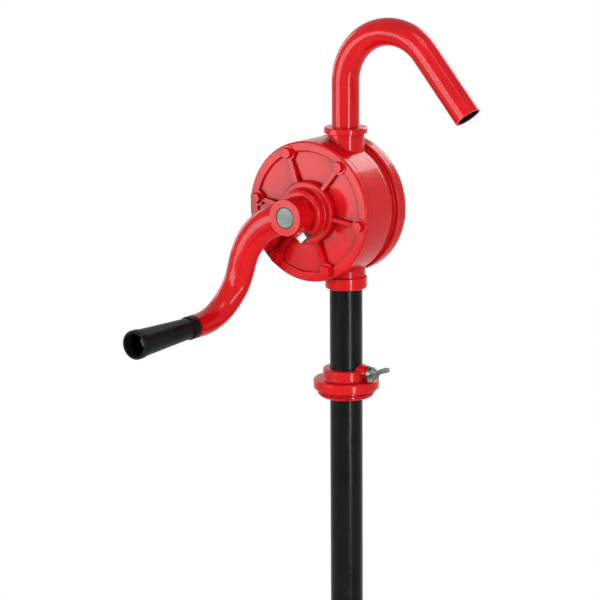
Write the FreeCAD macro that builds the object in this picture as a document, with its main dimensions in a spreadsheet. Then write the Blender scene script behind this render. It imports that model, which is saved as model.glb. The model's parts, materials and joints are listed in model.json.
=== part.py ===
import FreeCAD
import Part
import Sketcher
import math
import operator
import os
from types import SimpleNamespace

from FreeCAD import Placement, Rotation, Vector

# A hand-cranked vane pump for drums. The frame is +Z up. The suction tube runs down the Z axis, the
# drum's top is the plane z = 0, the crank is on the -Y side and the spout points to +X.

doc = FreeCAD.newDocument("RotaryHandPump")

# ------------------------------------------------------------------------------- driving sizes
# Lengths in mm, angles in degrees.

SIZES = {
    # suction tube: nominal one-inch pipe in two lengths, joined by a socket
    "tube_od": 33.7,
    "tube_wall": 2.6,
    "tube_thread_od": 33.25,
    "thread_run_out": 1.0,
    "upper_tube_length": 490.0,
    "lower_tube_length": 490.0,
    "tube_joint_gap": 1.0,
    "coupling_od": 42.0,
    "coupling_length": 44.0,
    # bung adapter, which screws into the drum and clamps the tube
    "bung_thread_od": 59.6,
    "skirt_length": 7.5,
    "lip_od": 68.0,
    "lip_thickness": 10.5,
    "neck_od": 48.0,
    "neck_height": 11.0,
    "slide_clearance": 0.1,
    "seal_section": 3.2,
    "seal_length": 5.0,
    "seal_cover": 2.0,
    "seal_clearance": 0.1,
    # wing screw, which points to +X
    "screw_od": 8.0,
    "screw_boss_od": 15.0,
    "screw_boss_reach": 27.0,
    "screw_below_neck_top": 2.5,
    "screw_tip_gap": 0.35,
    "wing_hub_od": 14.0,
    "wing_hub_gap": 1.5,
    "wing_hub_length": 10.0,
    "wing_reach": 18.5,
    "wing_thickness": 3.4,
    "wing_foot": 4.5,
    "wing_top": 14.5,
    "wing_ear_radius": 3.5,
    "wing_angle": 6.0,
    # where the pump head stands over the adapter, and how far its shaft is from the tube's axis
    "stand_off": 84.8,
    "shaft_offset": 22.2,
    # pump casing; its outside and its chamber follow the bolt circle
    "bolt_circle_od": 126.0,
    "casing_width": 56.0,
    "casing_wall": 6.0,
    "barrel_length": 38.0,
    "barrel_edge": 4.0,
    "waist_step": 0.5,
    "flange_thickness": 6.0,
    "flange_margin": 1.0,
    "casting_radius": 2.0,
    "chamber_offset": 6.0,
    "inlet_stand_out": 9.6,
    "outlet_stand_out": 12.4,
    "inlet_boss_od": 40.0,
    "inlet_rim_od": 43.0,
    "inlet_rim_height": 12.0,
    "inlet_thread_depth": 14.0,
    "inlet_port_bore": 26.0,
    "outlet_boss_od": 38.0,
    "outlet_rim_od": 44.0,
    "outlet_rim_height": 6.0,
    "outlet_port_bore": 24.0,
    # covers, their bolts and gaskets
    "gasket_thickness": 0.6,
    "cover_rim_thickness": 7.8,
    "cover_rim_overlap": 1.0,
    "cover_recess_depth": 2.6,
    "hub_base_od": 64.0,
    "hub_base_height": 5.0,
    "hub_base_edge": 2.5,
    "hub_nose_od": 50.0,
    "hub_nose_edge": 4.0,
    "hub_height": 16.0,
    "rear_hub_height": 10.0,
    "bolt_count": 6,
    "bolt_angle": 112.0,
    "bolt_od": 6.0,
    "bolt_hole_od": 6.6,
    "bolt_hole_depth": 8.0,
    "bolt_engagement": 6.5,
    "bolt_head_width": 10.0,
    "bolt_head_height": 4.0,
    "lug_od": 16.0,
    "lug_rise": 1.0,
    "rib_thickness": 4.0,
    "rib_height": 3.5,
    # shaft, its bushes and the stuffing box
    "shaft_od": 22.0,
    "shaft_front": 76.2,
    "bush_od": 28.0,
    "bush_length": 10.0,
    "bush_clearance": 0.03,
    "packing_od": 32.0,
    "packing_count": 2,
    "packing_ring_height": 3.0,
    "packing_ring_gap": 0.1,
    "packing_clearance": 0.05,
    "gland_thread_od": 36.0,
    "gland_thread_length": 6.4,
    "gland_head_width": 34.0,
    "gland_head_height": 3.0,
    "gland_clearance": 0.3,
    # rotor, vanes, springs and key
    "rotor_clearance": 0.1,
    "rotor_side_gap": 0.3,
    "slot_floor_wall": 4.2,
    "vane_count": 4,
    "vane_angle": 45.0,
    "vane_thickness": 5.0,
    "vane_inset": 0.2,
    "slot_clearance": 0.1,
    "spring_space": 1.7,
    "spring_thickness": 0.6,
    "spring_length": 42.0,
    "key_width": 5.0,
    "key_height": 5.0,
    "key_length": 40.0,
    # crank
    "crank_throw": 135.5,
    "crank_angle": 235.1,
    "crank_hub_od": 37.0,
    "crank_hub_length": 20.4,
    "crank_hub_overhang": 0.3,
    "arm_hub_width": 34.0,
    "arm_hub_thickness": 20.0,
    "arm_end_od": 24.0,
    "arm_end_ovality": 0.2,
    "arm_stub": 11.5,
    "arm_belly": 1.1,
    "knee_along": 38.5,
    "knee_across": 32.3,
    "knee_radius": 70.0,
    "elbow_radius": 50.0,
    "set_screw_angle": 76.5,
    "set_screw_od": 8.0,
    "set_screw_boss_od": 15.0,
    "set_screw_boss_reach": 21.5,
    "set_screw_head_width": 10.0,
    "set_screw_head_height": 7.5,
    # grip and the shoulder screw on which it spins
    "grip_length": 93.7,
    "grip_collar_od": 24.0,
    "grip_collar_length": 8.0,
    "grip_base_od": 21.4,
    "grip_tip_od": 28.0,
    "grip_bead_od": 29.4,
    "grip_bead_length": 8.0,
    "grip_mouth_od": 24.0,
    "grip_mouth_depth": 22.0,
    "grip_end_float": 0.3,
    "spindle_od": 8.0,
    "spindle_clearance": 0.06,
    "spindle_thread_depth": 14.0,
    "spindle_head_od": 13.0,
    "spindle_head_height": 4.5,
    "washer_od": 18.0,
    "washer_thickness": 1.5,
    # spout
    "spout_od": 28.0,
    "spout_wall": 1.8,
    "spout_socket_depth": 30.0,
    "spout_clearance": 0.05,
    "spout_seat_gap": 0.3,
    "spout_leg": 45.2,
    "spout_bend_radius": 53.6,
    "spout_bend_angle": 140.3,
    "spout_straight": 77.0,
    "spout_seal_section": 2.6,
    "spout_seal_length": 4.0,
    "spout_seal_cover": 6.0,
}

sheet = doc.addObject("Spreadsheet::Sheet", "Sizes")
for row, (name, number) in enumerate(SIZES.items(), start=1):
    sheet.set(f"A{row}", name)
    sheet.set(f"B{row}", str(number))
    sheet.setAlias(f"B{row}", name)
doc.recompute()

OPERATIONS = {"+": operator.add, "-": operator.sub, "*": operator.mul, "/": operator.truediv}


class Dim:
    """A size that is both a number and the sheet formula behind that number."""

    def __init__(self, number, formula):
        self.number = float(number)
        self.formula = formula

    def __add__(self, other):
        return combine(self, "+", other)

    def __radd__(self, other):
        return combine(other, "+", self)

    def __sub__(self, other):
        return combine(self, "-", other)

    def __rsub__(self, other):
        return combine(other, "-", self)

    def __mul__(self, other):
        return combine(self, "*", other)

    def __rmul__(self, other):
        return combine(other, "*", self)

    def __truediv__(self, other):
        return combine(self, "/", other)

    def __neg__(self):
        return combine(0, "-", self)


def as_dim(quantity):
    """The quantity as a Dim; a bare number stands for itself."""
    return quantity if isinstance(quantity, Dim) else Dim(quantity, repr(quantity))


def combine(left, sign, right):
    left = as_dim(left)
    right = as_dim(right)
    number = OPERATIONS[sign](left.number, right.number)
    return Dim(number, f"({left.formula} {sign} {right.formula})")


def cosine(angle):
    """Cosine of a Dim in degrees."""
    return Dim(math.cos(math.radians(angle.number)), f"cos({angle.formula} * 1 deg)")


def sine(angle):
    """Sine of a Dim in degrees."""
    return Dim(math.sin(math.radians(angle.number)), f"sin({angle.formula} * 1 deg)")


size = SimpleNamespace(**{name: Dim(number, f"Sizes.{name}") for name, number in SIZES.items()})

# ------------------------------------------------------------------------------- derived sizes

tube_r = size.tube_od / 2
tube_thread_r = size.tube_thread_od / 2
shaft_r = size.shaft_od / 2
neck_top = size.lip_thickness + size.neck_height
bolt_circle_r = size.bolt_circle_od / 2
flange_r = bolt_circle_r + size.lug_od / 2 + size.flange_margin
waist_r = flange_r - size.barrel_edge - size.waist_step
chamber_r = bolt_circle_r - size.bolt_od / 2 - size.casing_wall - size.chamber_offset
inlet_reach = flange_r + size.inlet_stand_out
outlet_reach = flange_r + size.outlet_stand_out
inlet_face = neck_top + size.stand_off
shaft_z = inlet_face + inlet_reach
outlet_face = shaft_z + outlet_reach
half_width = size.casing_width / 2
cover_seat = half_width + size.gasket_thickness
cover_face = cover_seat + size.cover_rim_thickness
web_face = cover_face - size.cover_recess_depth
hub_nose = cover_face + size.hub_height
lug_face = cover_face + size.lug_rise
bolt_length = lug_face - half_width + size.bolt_engagement
bush_end = cover_seat + size.bush_length
rotor_r = chamber_r - size.chamber_offset - size.rotor_clearance
rotor_width = 2 * (cover_seat - size.rotor_side_gap)
slot_bottom_r = shaft_r + size.slot_floor_wall
vane_inner_r = slot_bottom_r + size.spring_space
vane_outer_r = rotor_r - size.vane_inset
crank_front = size.shaft_front + size.crank_hub_overhang
crank_middle = crank_front - size.crank_hub_length / 2
arm_end = crank_middle + size.elbow_radius + size.arm_stub
washer_face = arm_end + size.washer_thickness
grip_base = washer_face + size.grip_end_float
grip_tip = grip_base + size.grip_length
grip_shoulder = grip_tip - size.grip_mouth_depth
HEX_CORNER = 1 / math.sqrt(3)

# A part on the shaft's line has its own z axis along the shaft: towards the crank when it faces
# FRONT, and towards the drum's far side when it faces BACK. Its own y axis points up.
FRONT = Rotation(Vector(1, 0, 0), 90)
BACK = Rotation(Vector(0, 0, 1), 180) * FRONT


def turned_about_z(degrees):
    return Rotation(Vector(0, 0, 1), degrees)


# ------------------------------------------------------------------------------- modelling helpers

parts = {}


def sub_part(label, type_name="PartDesign::Body"):
    """A new object of the document that will be written out under its label."""
    part = doc.addObject(type_name, label)
    part.Label = label
    parts[label] = part
    return part


def bind(thing, property_name, quantity):
    """Tie a property to the sheet."""
    thing.setExpression(property_name, as_dim(quantity).formula)


def place(part, x=0, y=0, z=0, rotation=Rotation()):
    corner = Vector(as_dim(x).number, as_dim(y).number, as_dim(z).number)
    part.Placement = Placement(corner, rotation)
    for axis, quantity in zip("xyz", (x, y, z)):
        bind(part, f"Placement.Base.{axis}", quantity)


def place_on_shaft(part, rotation=FRONT):
    place(part, -size.shaft_offset, 0, shaft_z, rotation)


def origin_feature(body, role):
    return next(feature for feature in body.Origin.OriginFeatures if feature.Role == role)


def new_sketch(body, role, shift_x=0, shift_z=0, turn=0):
    """A sketch on an origin plane, shifted along its own x axis and normal, and turned."""
    sketch = body.newObject("Sketcher::SketchObject", body.Label + "_sketch")
    sketch.AttachmentSupport = [(origin_feature(body, role), "")]
    sketch.MapMode = "FlatFace"
    offset = Vector(as_dim(shift_x).number, 0, as_dim(shift_z).number)
    sketch.AttachmentOffset = Placement(offset, turned_about_z(turn))
    bind(sketch, "AttachmentOffset.Base.x", shift_x)
    bind(sketch, "AttachmentOffset.Base.z", shift_z)
    return sketch


def constrain(sketch, kind, geometry, *more, quantity):
    """Add a dimension that follows the sheet."""
    index = sketch.addConstraint(Sketcher.Constraint(kind, geometry, *more, quantity.number))
    bind(sketch, f"Constraints[{index}]", quantity)


def arc_edge(start, end, bow):
    """The arc from start to end; a positive bow radius turns left, a negative one right."""
    chord = end - start
    to_centre = math.sqrt(max(bow * bow - chord.Length ** 2 / 4, 0)) * math.copysign(1, bow)
    left = Vector(-chord.y, chord.x, 0).normalize()
    centre = (start + end) / 2 + left * to_centre
    first, last = (start, end) if bow > 0 else (end, start)
    angles = [math.atan2(point.y - centre.y, point.x - centre.x) for point in (first, last)]
    return Part.ArcOfCircle(Part.Circle(centre, Vector(0, 0, 1), abs(bow)), *angles)


def draw(sketch, points, closed=True):
    """Draw lines and arcs through points (x, y) or (x, y, bow radius of the arc that leaves it)."""
    dims = [[as_dim(quantity) for quantity in point] for point in points]
    corners = [Vector(dim[0].number, dim[1].number, 0) for dim in dims]
    edge_count = len(points) if closed else len(points) - 1
    first_edge = sketch.GeometryCount
    ends = []
    for index in range(edge_count):
        start = corners[index]
        end = corners[(index + 1) % len(points)]
        if len(dims[index]) == 3:
            bow = dims[index][2].number
            sketch.addGeometry(arc_edge(start, end, bow))
            ends.append((1, 2) if bow > 0 else (2, 1))
        else:
            sketch.addGeometry(Part.LineSegment(start, end))
            ends.append((1, 2))
    for index in range(edge_count):
        following = (index + 1) % edge_count
        if closed or following:
            here = (first_edge + index, ends[index][1])
            there = (first_edge + following, ends[following][0])
            sketch.addConstraint(Sketcher.Constraint("Coincident", *here, *there))
    for index, dim in enumerate(dims):
        edge = min(index, edge_count - 1)
        point = ends[edge][0] if index < edge_count else ends[edge][1]
        constrain(sketch, "DistanceX", -1, 1, first_edge + edge, point, quantity=dim[0])
        constrain(sketch, "DistanceY", -1, 1, first_edge + edge, point, quantity=dim[1])
        if len(dim) == 3:
            radius = dim[2] if dim[2].number > 0 else -dim[2]
            constrain(sketch, "Radius", first_edge + index, quantity=radius)


def draw_circle(sketch, radius, x=0, y=0):
    x = as_dim(x)
    y = as_dim(y)
    circle = Part.Circle(Vector(x.number, y.number, 0), Vector(0, 0, 1), radius.number)
    index = sketch.addGeometry(circle)
    constrain(sketch, "DistanceX", -1, 1, index, 3, quantity=x)
    constrain(sketch, "DistanceY", -1, 1, index, 3, quantity=y)
    constrain(sketch, "Radius", index, quantity=radius)


def rounded(x, y, came, left, radius):
    """The two points of a rounded right-angled corner; came and left are unit steps such as (1, 0)."""
    turn = came[0] * left[1] - came[1] * left[0]
    return [(x - radius * came[0], y - radius * came[1], radius * turn),
            (x + radius * left[0], y + radius * left[1])]


def feature(body, kind, sketch, **settings):
    """Add a PartDesign feature made from a sketch and make it the body's tip."""
    made = body.newObject("PartDesign::" + kind, f"{body.Label}_{kind.lower()}")
    made.Profile = sketch
    for name, setting in settings.items():
        if isinstance(setting, Dim):
            bind(made, name, setting)
        else:
            setattr(made, name, setting)
    sketch.Visibility = False
    body.Tip = made
    return made


def revolve(body, points, kind="Revolution", role="XZ_Plane", shift_x=0):
    """Turn a half section (radius, height) into a solid, or a groove, about the sketch's y axis."""
    sketch = new_sketch(body, role, shift_x)
    draw(sketch, points)
    return feature(body, kind, sketch, ReferenceAxis=(sketch, ["V_Axis"]), Angle=360)


def ring(label, inner_r, outer_r, bottom, top, corner):
    """A turned ring with rounded outer corners."""
    body = sub_part(label)
    revolve(body, [(inner_r, bottom)]
            + rounded(outer_r, bottom, (1, 0), (0, 1), corner)
            + rounded(outer_r, top, (0, 1), (-1, 0), corner)
            + [(inner_r, top)])
    return body


def pattern_round(body, originals, count):
    """Repeat features around the body's z axis."""
    pattern = body.newObject("PartDesign::PolarPattern", body.Label + "_pattern")
    pattern.Originals = originals
    pattern.Axis = (origin_feature(body, "Z_Axis"), [""])
    pattern.Angle = 360
    bind(pattern, "Occurrences", count)
    body.Tip = pattern
    return pattern


# ------------------------------------------------------------------------------- bung adapter

adapter_bore_r = tube_r + size.slide_clearance
seal_groove_r = tube_r + size.seal_section
seal_bottom = size.seal_cover - size.skirt_length
seal_top = seal_bottom + size.seal_length
screw_z = neck_top - size.screw_below_neck_top


def make_bung_adapter():
    """Lip on the drum, threaded skirt in its bung, and a neck with a boss for the wing screw."""
    body = sub_part("bung_adapter")
    thread_r = size.bung_thread_od / 2
    lip_r = size.lip_od / 2
    neck_r = size.neck_od / 2
    lead_in = size.casting_radius * 0.75
    revolve(body, [(0, -size.skirt_length), (thread_r - lead_in, -size.skirt_length),
                   (thread_r, lead_in - size.skirt_length), (thread_r, 0)]
            + rounded(lip_r, 0, (1, 0), (0, 1), size.casting_radius)
            + rounded(lip_r, size.lip_thickness, (0, 1), (-1, 0), size.casting_radius)
            + rounded(neck_r, size.lip_thickness, (-1, 0), (0, 1), size.casting_radius)
            + rounded(neck_r, neck_top, (0, 1), (-1, 0), size.casting_radius * 0.5)
            + [(0, neck_top)])
    boss = new_sketch(body, "YZ_Plane")
    draw_circle(boss, size.screw_boss_od / 2, 0, screw_z)
    feature(body, "Pad", boss, Length=size.screw_boss_reach)
    revolve(body, [(0, -size.skirt_length), (adapter_bore_r, -size.skirt_length),
                   (adapter_bore_r, seal_bottom), (seal_groove_r, seal_bottom),
                   (seal_groove_r, seal_top), (adapter_bore_r, seal_top),
                   (adapter_bore_r, screw_z + size.screw_boss_od), (0, screw_z + size.screw_boss_od)],
            kind="Groove")
    hole = new_sketch(body, "YZ_Plane")
    draw_circle(hole, size.screw_od / 2 + size.bush_clearance, 0, screw_z)
    feature(body, "Pocket", hole, Length=size.screw_boss_reach, Reversed=True)


def make_tube_seal():
    """Rubber ring in the adapter's groove, round the tube."""
    gap = size.seal_clearance
    ring("tube_seal", tube_r + gap / 4, seal_groove_r - gap / 2, seal_bottom + gap, seal_top - gap,
         size.seal_section / 4)


def make_wing_screw():
    """Screw with a hub and two wings; its own z axis points out of the boss."""
    body = sub_part("wing_screw")
    tip = tube_r + size.screw_tip_gap
    hub_bottom = size.screw_boss_reach + size.wing_hub_gap
    hub_top = hub_bottom + size.wing_hub_length
    hub_r = size.wing_hub_od / 2
    screw_r = size.screw_od / 2
    point = screw_r / 3
    revolve(body, [(0, tip), (screw_r - point, tip), (screw_r, tip + point), (screw_r, hub_bottom),
                   (hub_r, hub_bottom), (hub_r, hub_bottom + size.wing_hub_length / 2),
                   (screw_r, hub_top), (0, hub_top)])
    wing = new_sketch(body, "YZ_Plane")
    root = screw_r / 2
    foot = hub_bottom + size.wing_foot
    ear_r = size.wing_ear_radius
    ear_x = size.wing_reach - ear_r
    ear_z = hub_bottom + size.wing_top - ear_r
    draw(wing, [(root, foot), (hub_r, foot), (ear_x, ear_z - ear_r, ear_r), (ear_x + ear_r, ear_z, ear_r),
                (ear_x, ear_z + ear_r), (hub_r, hub_top), (root, hub_top)])
    pad = feature(body, "Pad", wing, Length=size.wing_thickness, SideType="Symmetric")
    pattern_round(body, [pad], as_dim(2))
    outwards = Rotation(Vector(0, 1, 0), 90)
    place(body, 0, 0, screw_z, outwards * turned_about_z(size.wing_angle.number))


# ------------------------------------------------------------------------------- suction tube

upper_tube_top = inlet_face + size.inlet_thread_depth
upper_tube_bottom = upper_tube_top - size.upper_tube_length
lower_tube_top = upper_tube_bottom - size.tube_joint_gap


joint_thread = (size.coupling_length - size.tube_joint_gap) / 2 + size.thread_run_out
inlet_thread = size.inlet_thread_depth + size.thread_run_out


def make_tube(label, length, bottom, top_thread, bottom_thread=None):
    """One length of tube, turned down to the thread's diameter at its threaded ends."""
    body = sub_part(label)
    bore_r = tube_r - size.tube_wall
    shoulder = length - top_thread
    lower_end = [(tube_r, 0)]
    if bottom_thread:
        lower_end = [(tube_thread_r, 0), (tube_thread_r, bottom_thread), (tube_r, bottom_thread)]
    revolve(body, [(bore_r, 0)] + lower_end + [
        (tube_r, shoulder), (tube_thread_r, shoulder), (tube_thread_r, length), (bore_r, length)])
    place(body, 0, 0, bottom)


def make_tube_coupling():
    """Threaded socket in which the two lengths of tube meet."""
    half = size.coupling_length / 2
    body = ring("tube_coupling", tube_thread_r, size.coupling_od / 2, -half, half, size.tube_wall / 2)
    place(body, 0, 0, upper_tube_bottom - size.tube_joint_gap / 2)


# ------------------------------------------------------------------------------- pump casing


def pipe_boss_section():
    """Half section of the outlet boss above the shaft's height and the inlet boss below it."""
    edge = size.casting_radius / 2
    inlet_rim_r = size.inlet_rim_od / 2
    outlet_rim_r = size.outlet_rim_od / 2
    inlet_step = size.inlet_rim_height - inlet_reach
    outlet_step = outlet_reach - size.outlet_rim_height
    return [(0, -inlet_reach), (inlet_rim_r - edge, -inlet_reach),
            (inlet_rim_r, edge - inlet_reach), (inlet_rim_r, inlet_step),
            (size.inlet_boss_od / 2, inlet_step + edge), (size.inlet_boss_od / 2, 0),
            (size.outlet_boss_od / 2, 0), (size.outlet_boss_od / 2, outlet_step - edge),
            (outlet_rim_r, outlet_step), (outlet_rim_r, outlet_reach - edge),
            (outlet_rim_r - edge, outlet_reach), (0, outlet_reach)]


def pipe_bore_section():
    """Half section of the bores: inlet thread and port, outlet port, and the spout's socket."""
    inlet_port_r = size.inlet_port_bore / 2
    outlet_port_r = size.outlet_port_bore / 2
    thread_end = size.inlet_thread_depth - inlet_reach
    socket_r = size.spout_od / 2 + size.spout_clearance
    socket_floor = outlet_reach - size.spout_socket_depth
    seal_r = size.spout_od / 2 + size.spout_seal_section
    seal_top = outlet_reach - size.spout_seal_cover
    seal_bottom = seal_top - size.spout_seal_length
    return [(0, -inlet_reach), (tube_thread_r, -inlet_reach), (tube_thread_r, thread_end),
            (inlet_port_r, thread_end), (inlet_port_r, 0), (outlet_port_r, 0),
            (outlet_port_r, socket_floor), (socket_r, socket_floor), (socket_r, seal_bottom),
            (seal_r, seal_bottom), (seal_r, seal_top), (socket_r, seal_top),
            (socket_r, outlet_reach), (0, outlet_reach)]


def make_pump_casing():
    """Cast barrel, a waist and a bolted flange behind it, the eccentric chamber, two pipe bosses."""
    body = sub_part("pump_casing")
    waist_front = half_width - size.barrel_length
    waist_back = size.flange_thickness - half_width
    corner = size.casting_radius
    edge = corner / 4
    revolve(body, [(0, -half_width)]
            + rounded(flange_r, -half_width, (1, 0), (0, 1), edge)
            + rounded(flange_r, waist_back, (0, 1), (-1, 0), corner)
            + rounded(waist_r, waist_back, (-1, 0), (0, 1), corner / 2)
            + [(waist_r, waist_front)]
            + rounded(flange_r, waist_front, (1, 0), (0, 1), size.barrel_edge)
            + rounded(flange_r, half_width, (0, 1), (-1, 0), edge)
            + [(0, half_width)])
    revolve(body, pipe_boss_section(), role="XY_Plane", shift_x=size.shaft_offset)
    chamber = new_sketch(body, "XY_Plane")
    draw_circle(chamber, chamber_r, -size.chamber_offset)
    feature(body, "Pocket", chamber, Length=size.casing_width, SideType="Symmetric")
    revolve(body, pipe_bore_section(), kind="Groove", role="XY_Plane", shift_x=size.shaft_offset)
    bolt_x = bolt_circle_r * cosine(size.bolt_angle)
    bolt_y = bolt_circle_r * sine(size.bolt_angle)
    front_holes = new_sketch(body, "XY_Plane", shift_z=half_width)
    draw_circle(front_holes, size.bolt_od / 2, bolt_x, bolt_y)
    front = feature(body, "Pocket", front_holes, Length=size.bolt_hole_depth)
    rear_holes = new_sketch(body, "XY_Plane", shift_z=-half_width)
    draw_circle(rear_holes, size.bolt_od / 2, bolt_x, bolt_y)
    rear = feature(body, "Pocket", rear_holes, Length=size.bolt_hole_depth, Reversed=True)
    pattern_round(body, [front, rear], size.bolt_count)
    place_on_shaft(body)


# ------------------------------------------------------------------------------- covers

# The front cover is seen from the crank's side and the rear cover from the other side, so the same
# ring of bolts starts at the mirrored angle on the rear.
FRONT_BOLTS = FRONT * turned_about_z(size.bolt_angle.number)
REAR_BOLTS = BACK * turned_about_z(180 - size.bolt_angle.number)


def hub_steps(nose):
    """The hub's outside from the web to its face: a low round base, then the nose on it."""
    base_top = cover_face + size.hub_base_height
    nose_r = size.hub_nose_od / 2
    foot = size.casting_radius
    return ([(size.hub_base_od / 2, web_face)]
            + rounded(size.hub_base_od / 2, base_top, (0, 1), (-1, 0), size.hub_base_edge)
            + rounded(nose_r, base_top, (-1, 0), (0, 1), foot)
            + rounded(nose_r, nose, (0, 1), (-1, 0), size.hub_nose_edge))


def make_cover(label, nose, bore_points, rotation):
    """Dished cover: raised rim, recessed web, a stepped hub, and a rib and a lug at every bolt."""
    body = sub_part(label)
    recess_r = bolt_circle_r - size.cover_rim_overlap
    corner = size.casting_radius
    revolve(body, [(flange_r, cover_seat)]
            + rounded(flange_r, cover_face, (0, 1), (-1, 0), corner)
            + rounded(recess_r, cover_face, (-1, 0), (0, -1), corner / 2)
            + rounded(recess_r, web_face, (0, -1), (-1, 0), corner / 2)
            + hub_steps(nose)
            + bore_points)
    lug = new_sketch(body, "XY_Plane", shift_z=cover_seat)
    draw_circle(lug, size.lug_od / 2, bolt_circle_r)
    lug_pad = feature(body, "Pad", lug, Length=lug_face - cover_seat)
    rib = new_sketch(body, "XZ_Plane")
    rib_foot = (cover_seat + web_face) / 2
    rib_start_r = size.hub_base_od / 2 - size.hub_base_edge
    draw(rib, [(rib_start_r, rib_foot), (bolt_circle_r, rib_foot), (bolt_circle_r, cover_face),
               (rib_start_r, cover_face + size.rib_height)])
    rib_pad = feature(body, "Pad", rib, Length=size.rib_thickness, SideType="Symmetric")
    hole = new_sketch(body, "XY_Plane", shift_z=cover_seat)
    draw_circle(hole, size.bolt_hole_od / 2, bolt_circle_r)
    hole_pocket = feature(body, "Pocket", hole, Length=lug_face - cover_seat, Reversed=True)
    pattern_round(body, [rib_pad, lug_pad, hole_pocket], size.bolt_count)
    place_on_shaft(body, rotation)


def make_front_cover():
    """The open hub holds the bush, then the packing, then the thread of the gland nut."""
    bush_r = size.bush_od / 2
    packing_r = size.packing_od / 2
    gland_r = size.gland_thread_od / 2
    thread_end = hub_nose - size.gland_thread_length
    bore = [(gland_r, hub_nose), (gland_r, thread_end), (packing_r, thread_end), (packing_r, bush_end),
            (bush_r, bush_end), (bush_r, cover_seat)]
    make_cover("front_cover", hub_nose, bore, FRONT_BOLTS)


def make_rear_cover():
    """The rear hub is closed and holds only the rear bush."""
    bush_r = size.bush_od / 2
    nose = cover_face + size.rear_hub_height
    bore = [(0, nose), (0, bush_end), (bush_r, bush_end), (bush_r, cover_seat)]
    make_cover("rear_cover", nose, bore, REAR_BOLTS)


def make_gasket(label, facing):
    """Flat gasket between a flange and its cover, with the chamber's own opening."""
    body = sub_part(label)
    sketch = new_sketch(body, "XY_Plane", shift_z=half_width)
    draw_circle(sketch, flange_r - size.casting_radius / 4)
    side = 1 if facing is FRONT else -1
    draw_circle(sketch, chamber_r, -side * size.chamber_offset)
    feature(body, "Pad", sketch, Length=size.gasket_thickness)
    hole = new_sketch(body, "XY_Plane", shift_z=half_width)
    bolt_x = side * bolt_circle_r * cosine(size.bolt_angle)
    bolt_y = bolt_circle_r * sine(size.bolt_angle)
    draw_circle(hole, size.bolt_hole_od / 2, bolt_x, bolt_y)
    pocket = feature(body, "Pocket", hole, Length=size.gasket_thickness, Reversed=True)
    pattern_round(body, [pocket], size.bolt_count)
    place_on_shaft(body, facing)


def hexagon(across_flats, x=0):
    """The six corners of a hexagon about (x, 0), with a flat on each side in y."""
    corner_r = across_flats * HEX_CORNER
    half = across_flats / 2
    return [(x + corner_r, 0), (x + corner_r / 2, half), (x - corner_r / 2, half),
            (x - corner_r, 0), (x - corner_r / 2, -half), (x + corner_r / 2, -half)]


def make_cover_bolts(label, rotation):
    """One ring of hexagon bolts as a group of separate solids."""
    body = sub_part(label)
    body.AllowCompound = True
    head = new_sketch(body, "XY_Plane", shift_z=lug_face)
    draw(head, hexagon(size.bolt_head_width, bolt_circle_r))
    head_pad = feature(body, "Pad", head, Length=size.bolt_head_height)
    shank = new_sketch(body, "XY_Plane", shift_z=lug_face)
    draw_circle(shank, size.bolt_od / 2, bolt_circle_r)
    shank_pad = feature(body, "Pad", shank, Length=bolt_length, Reversed=True)
    pattern_round(body, [head_pad, shank_pad], size.bolt_count)
    place_on_shaft(body, rotation)


# ------------------------------------------------------------------------------- stuffing box


def make_bush(label, facing):
    corner = size.casting_radius / 4
    body = ring(label, shaft_r + size.bush_clearance, size.bush_od / 2, cover_seat, bush_end, corner)
    place_on_shaft(body, facing)


def make_packing_rings():
    """Packing rings in a row between the bush and the gland nut."""
    body = sub_part("packing_rings")
    body.AllowCompound = True
    bottom = bush_end
    top = bottom + size.packing_ring_height
    inner_r = shaft_r + size.packing_clearance
    outer_r = size.packing_od / 2
    first = revolve(body, [(inner_r, bottom), (outer_r, bottom), (outer_r, top), (inner_r, top)])
    row = body.newObject("PartDesign::LinearPattern", "packing_row")
    row.Originals = [first]
    row.Direction = (origin_feature(body, "Z_Axis"), [""])
    pitch = size.packing_ring_height + size.packing_ring_gap
    bind(row, "Length", pitch * (size.packing_count - 1))
    bind(row, "Occurrences", size.packing_count)
    body.Tip = row
    place_on_shaft(body)


def make_gland_nut():
    """Threaded ring that presses the packing, with a thin hexagon head on the hub."""
    body = sub_part("gland_nut")
    bore_r = shaft_r + size.gland_clearance
    head = new_sketch(body, "XY_Plane", shift_z=hub_nose)
    draw(head, hexagon(size.gland_head_width))
    feature(body, "Pad", head, Length=size.gland_head_height)
    packing_top = bush_end + size.packing_count * (size.packing_ring_height + size.packing_ring_gap)
    thread_end = hub_nose - size.gland_thread_length
    foot_r = size.packing_od / 2
    thread_r = size.gland_thread_od / 2
    revolve(body, [(0, packing_top), (foot_r, packing_top), (foot_r, thread_end), (thread_r, thread_end),
                   (thread_r, hub_nose), (0, hub_nose)])
    bore = new_sketch(body, "XY_Plane")
    draw_circle(bore, bore_r)
    feature(body, "Pocket", bore, Length=hub_nose + size.gland_head_height, Reversed=True)
    place_on_shaft(body)


# ------------------------------------------------------------------------------- rotor and shaft

VANE_STEP = 360 / size.vane_count.number
ROTOR_TURN = FRONT * turned_about_z(size.vane_angle.number)
KEY_TURN = FRONT * turned_about_z(size.vane_angle.number + VANE_STEP / 2)
key_bottom_r = shaft_r - size.key_height / 2
key_top_r = shaft_r + size.key_height / 2


def slab(inner_x, outer_x, width):
    """Rectangle from inner_x to outer_x, centred on the x axis."""
    return [(inner_x, -width / 2), (outer_x, -width / 2), (outer_x, width / 2), (inner_x, width / 2)]


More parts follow.
